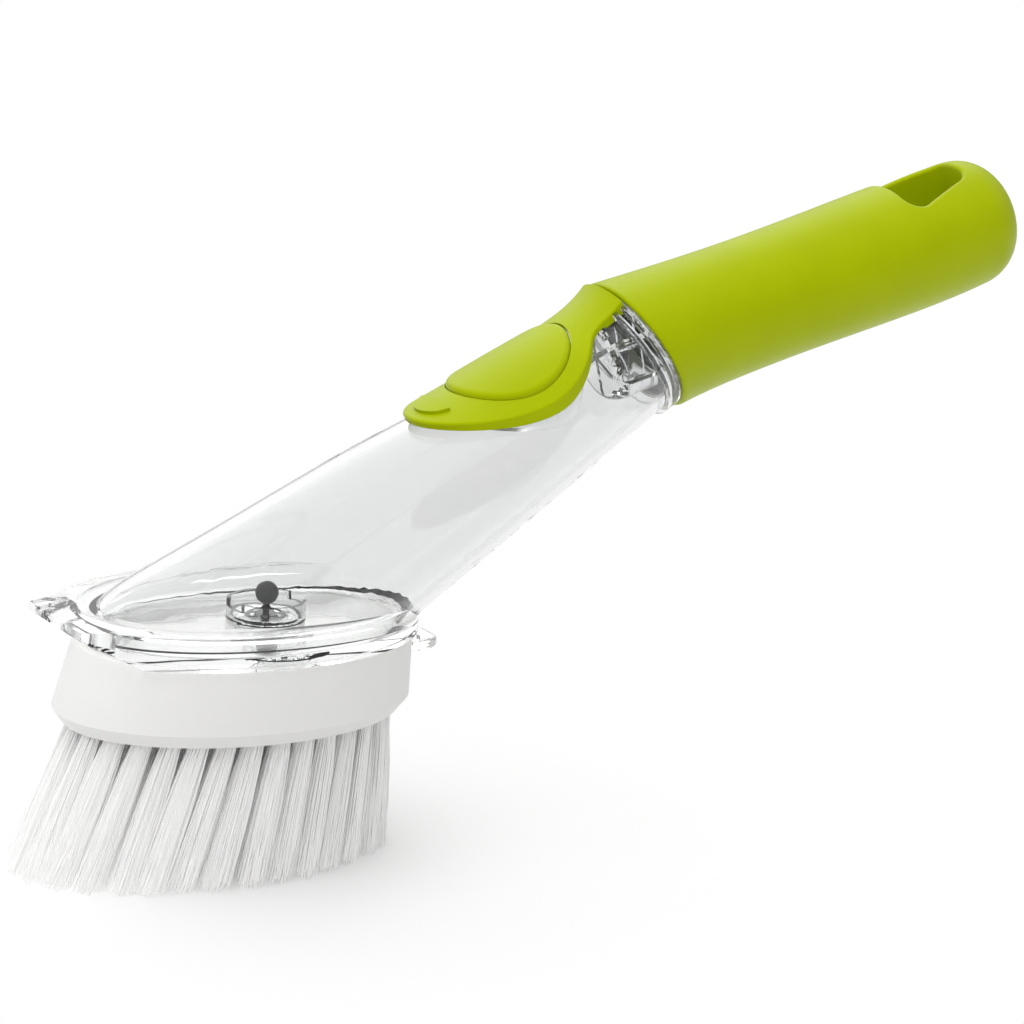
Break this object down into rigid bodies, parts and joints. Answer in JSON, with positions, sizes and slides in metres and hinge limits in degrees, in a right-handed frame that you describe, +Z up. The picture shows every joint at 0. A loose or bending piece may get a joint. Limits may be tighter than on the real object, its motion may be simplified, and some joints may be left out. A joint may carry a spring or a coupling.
{
  "type": "soap dispensing dish wand",
  "caption": "Dish wand with a clear soap reservoir, flip-up filler lid with a pump button, scraper edge, soft grip with a hanging hole and a clip-off oval brush.",
  "frame": {"origin": "middle of the brush face, on the worktop that the bristle tips stand on", "axes": "+X from the scraper to the end of the grip, +Y to the left of someone holding the grip, +Z up"},
  "size_m": [0.2695, 0.0616, 0.159],
  "materials": {
    "lime_soft": "satin",
    "clear_plastic": "gloss",
    "clear_silicone": "satin",
    "black_silicone": "satin",
    "white_nylon": "satin",
    "white_plastic": "satin",
    "core_plastic": "satin",
    "staple_wire": "satin"
  },
  "bodies": {
    "wand": {"reservoir_body": "clear_plastic", "head_tray": "clear_plastic", "valve_housing": "clear_plastic", "neck_plug": "clear_plastic", "plug_ring": "black_silicone", "neck_seal": "clear_silicone", "handle_core": "core_plastic", "grip": "lime_soft", "lid_strap": "lime_soft", "port_seal": "clear_silicone"},
    "lid": {"fill_lid": "lime_soft"},
    "button": {"pump_button": "lime_soft"},
    "valve": {"dispensing_valve": "black_silicone"},
    "latch": {"release_latch": "clear_plastic"},
    "brush": {"brush_block": "white_plastic", "tuft_anchors": "staple_wire", "tufts_outer": "white_nylon", "tufts_second": "white_nylon", "tufts_third": "white_nylon", "tufts_inner": "white_nylon"}
  },
  "joints": [
    {"name": "lid_open", "type": "hinge", "parent": "wand", "child": "lid", "pos_m": [0.08875, 0, 0.12735], "axis": [0, 1, 0], "range_deg": [0, 110]},
    {"name": "button_press", "type": "slide", "parent": "lid", "child": "button", "axis": [0.4772, 0, -0.8788], "range_m": [0, 0.0008], "stiffness_N_per_m": 400},
    {"name": "valve_open", "type": "slide", "parent": "wand", "child": "valve", "axis": [0, 0, -1], "range_m": [0, 0.0006]},
    {"name": "latch_release", "type": "hinge", "parent": "wand", "child": "latch", "pos_m": [0.0426, 0, 0.0551], "axis": [0, -1, 0], "range_deg": [0, 8], "stiffness_Nm_per_rad": 0.3},
    {"name": "brush_release", "type": "slide", "parent": "wand", "child": "brush", "axis": [0, 0, -1], "range_m": [0, 0.025]}
  ],
  "couplings": [
    {"joint": "valve_open", "follows": "button_press", "ratio": 0.75}
  ]
}
